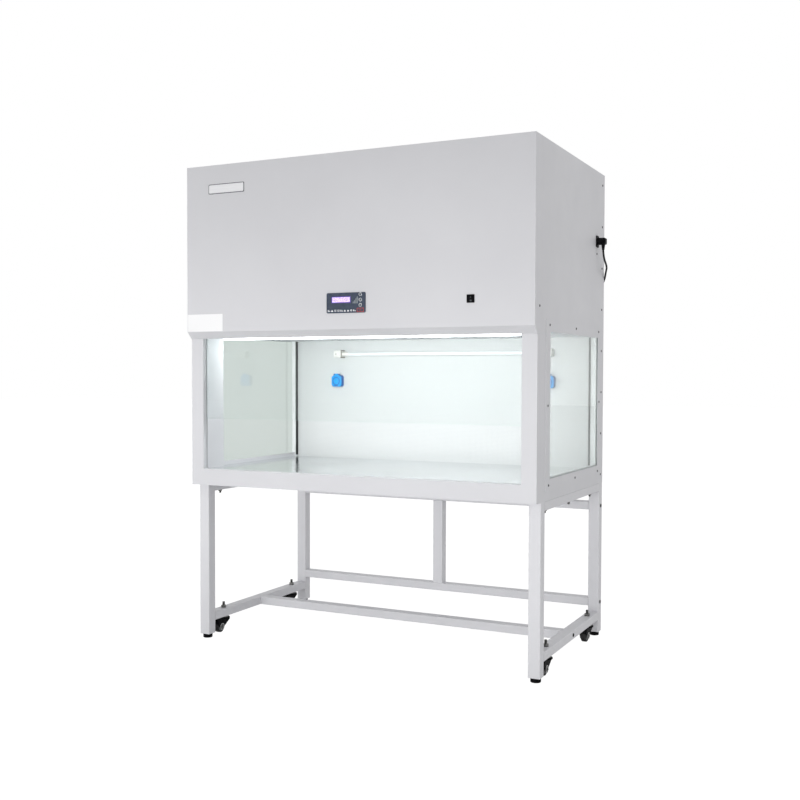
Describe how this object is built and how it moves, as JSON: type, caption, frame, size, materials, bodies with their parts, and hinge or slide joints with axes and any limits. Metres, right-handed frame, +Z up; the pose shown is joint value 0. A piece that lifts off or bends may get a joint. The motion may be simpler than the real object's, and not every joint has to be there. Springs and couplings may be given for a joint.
{
  "type": "laminar flow cabinet",
  "caption": "White painted laminar flow cabinet with a sliding glass sash, side windows and control panel, on a square tube stand with feet and casters.",
  "frame": {"origin": "on the floor under the middle of the cabinet's outline, leads left out", "axes": "+X to the right seen from the front, +Y to the back, +Z up"},
  "size_m": [1.336, 0.8261, 1.7],
  "materials": {
    "painted_steel": "powder coated, smooth satin",
    "stand_paint": "powder coated tube, satin",
    "stainless": "polished stainless steel",
    "clear_glass": "clear with a green edge",
    "black_plastic": "moulded, matt",
    "black_rubber": "matt",
    "zinc_steel": "zinc plated",
    "socket_blue": "moulded, satin",
    "panel_grey": "printed overlay",
    "display_glass": "backlit window",
    "lamp_glass": "clear tube with metal caps",
    "filter_paper": "pleated glass fibre paper",
    "galvanised": "galvanised sheet",
    "white_plastic": "moulded diffuser",
    "cord_black": "matt sheath"
  },
  "bodies": {
    "cabinet": {"base_pan": "painted_steel", "caster_studs": "zinc_steel", "coil": "cord_black", "connector": "black_plastic", "cord": "cord_black", "cross_bars": "stand_paint", "diffuser": "painted_steel", "display": "display_glass", "fan_deck": "painted_steel", "fan_scroll": "galvanised", "front_cover": "painted_steel", "front_posts": "painted_steel", "gaskets": "black_rubber", "hepa_filter": "filter_paper", "hole_caps": "black_plastic", "inlet": "black_plastic", "motor": "galvanised", "panel_body": "panel_grey", "panel_screws": "zinc_steel", "plug": "black_plastic", "post_rear": "stand_paint", "prefilter": "filter_paper", "rear_panel": "painted_steel", "rear_uprights": "painted_steel", "sash_guides": "galvanised", "side_frame_left": "stand_paint", "side_frame_right": "stand_paint", "side_glass": "clear_glass", "side_panel_left": "painted_steel", "side_panel_right": "painted_steel", "side_trims": "painted_steel", "socket_bodies": "socket_blue", "stand_bolts": "zinc_steel", "switch_frame": "black_plastic", "tie": "black_plastic", "top_panel": "painted_steel", "uv_holders": "black_plastic", "uv_tube": "lamp_glass", "work_light": "white_plastic", "worktop": "stainless"},
    "sash_body": {"sash": "clear_glass"},
    "socket_lid_left_body": {"socket_lid_left": "socket_blue"},
    "socket_lid_right_body": {"socket_lid_right": "socket_blue"},
    "button_1_body": {"button_1": "panel_grey"},
    "button_2_body": {"button_2": "panel_grey"},
    "button_3_body": {"button_3": "panel_grey"},
    "rocker_body": {"rocker": "black_plastic"},
    "impeller_body": {"impeller": "galvanised"},
    "caster_fork_lf_body": {"caster_fork_lf": "black_plastic"},
    "caster_fork_rf_body": {"caster_fork_rf": "black_plastic"},
    "caster_fork_lr_body": {"caster_fork_lr": "black_plastic"},
    "caster_fork_rr_body": {"caster_fork_rr": "black_plastic"},
    "caster_wheel_lf_body": {"caster_wheel_lf": "black_plastic"},
    "caster_wheel_rf_body": {"caster_wheel_rf": "black_plastic"},
    "caster_wheel_lr_body": {"caster_wheel_lr": "black_plastic"},
    "caster_wheel_rr_body": {"caster_wheel_rr": "black_plastic"},
    "foot_lf_body": {"foot_lf": "black_plastic"},
    "foot_rf_body": {"foot_rf": "black_plastic"},
    "foot_lr_body": {"foot_lr": "black_plastic"},
    "foot_rr_body": {"foot_rr": "black_plastic"}
  },
  "joints": [
    {"name": "sash_slide", "type": "slide", "parent": "cabinet", "child": "sash_body", "axis": [0, 0, 1], "range_m": [-0.1815, 0.272]},
    {"name": "socket_lid_left_hinge", "type": "hinge", "parent": "cabinet", "child": "socket_lid_left_body", "pos_m": [-0.422, 0.2908, 0.9665], "axis": [-1, 0, 0], "range_deg": [0, 95], "stiffness_Nm_per_rad": 0.02, "springref_deg": -17.19},
    {"name": "socket_lid_right_hinge", "type": "hinge", "parent": "cabinet", "child": "socket_lid_right_body", "pos_m": [0.468, 0.2908, 0.9665], "axis": [-1, 0, 0], "range_deg": [0, 95], "stiffness_Nm_per_rad": 0.02, "springref_deg": -17.19},
    {"name": "button_1_press", "type": "slide", "parent": "cabinet", "child": "button_1_body", "axis": [0, 1, 0], "range_m": [0, 0.001], "stiffness_N_per_m": 800, "springref_m": -0.001},
    {"name": "button_2_press", "type": "slide", "parent": "cabinet", "child": "button_2_body", "axis": [0, 1, 0], "range_m": [0, 0.001], "stiffness_N_per_m": 800, "springref_m": -0.001},
    {"name": "button_3_press", "type": "slide", "parent": "cabinet", "child": "button_3_body", "axis": [0, 1, 0], "range_m": [0, 0.001], "stiffness_N_per_m": 800, "springref_m": -0.001},
    {"name": "rocker_tilt", "type": "hinge", "parent": "cabinet", "child": "rocker_body", "pos_m": [0.44, -0.3907, 1.203], "axis": [-1, 0, 0], "range_deg": [0, 16]},
    {"name": "caster_swivel_lf", "type": "hinge", "parent": "cabinet", "child": "caster_fork_lf_body", "pos_m": [-0.63, -0.2052, 0.0547], "axis": [0, 0, 1], "continuous": true},
    {"name": "caster_roll_lf", "type": "hinge", "parent": "caster_fork_lf_body", "child": "caster_wheel_lf_body", "pos_m": [-0.63, -0.2332, 0.0245], "axis": [1, 0, 0], "continuous": true},
    {"name": "caster_swivel_rf", "type": "hinge", "parent": "cabinet", "child": "caster_fork_rf_body", "pos_m": [0.63, -0.2052, 0.0547], "axis": [0, 0, 1], "continuous": true},
    {"name": "caster_roll_rf", "type": "hinge", "parent": "caster_fork_rf_body", "child": "caster_wheel_rf_body", "pos_m": [0.63, -0.2332, 0.0245], "axis": [1, 0, 0], "continuous": true},
    {"name": "caster_swivel_lr", "type": "hinge", "parent": "cabinet", "child": "caster_fork_lr_body", "pos_m": [-0.63, 0.2778, 0.0547], "axis": [0, 0, 1], "continuous": true},
    {"name": "caster_roll_lr", "type": "hinge", "parent": "caster_fork_lr_body", "child": "caster_wheel_lr_body", "pos_m": [-0.63, 0.2498, 0.0245], "axis": [1, 0, 0], "continuous": true},
    {"name": "caster_swivel_rr", "type": "hinge", "parent": "cabinet", "child": "caster_fork_rr_body", "pos_m": [0.63, 0.2778, 0.0547], "axis": [0, 0, 1], "continuous": true},
    {"name": "caster_roll_rr", "type": "hinge", "parent": "caster_fork_rr_body", "child": "caster_wheel_rr_body", "pos_m": [0.63, 0.2498, 0.0245], "axis": [1, 0, 0], "continuous": true},
    {"name": "foot_screw_lf", "type": "slide", "parent": "cabinet", "child": "foot_lf_body", "axis": [0, 0, 1], "range_m": [-0.02, 0]},
    {"name": "foot_screw_rf", "type": "slide", "parent": "cabinet", "child": "foot_rf_body", "axis": [0, 0, 1], "range_m": [-0.02, 0]},
    {"name": "foot_screw_lr", "type": "slide", "parent": "cabinet", "child": "foot_lr_body", "axis": [0, 0, 1], "range_m": [-0.02, 0]},
    {"name": "foot_screw_rr", "type": "slide", "parent": "cabinet", "child": "foot_rr_body", "axis": [0, 0, 1], "range_m": [-0.02, 0]},
    {"name": "impeller_spin", "type": "hinge", "parent": "cabinet", "child": "impeller_body", "pos_m": [-0.08, -0.0632, 1.3267], "axis": [1, 0, 0], "continuous": true}
  ]
}
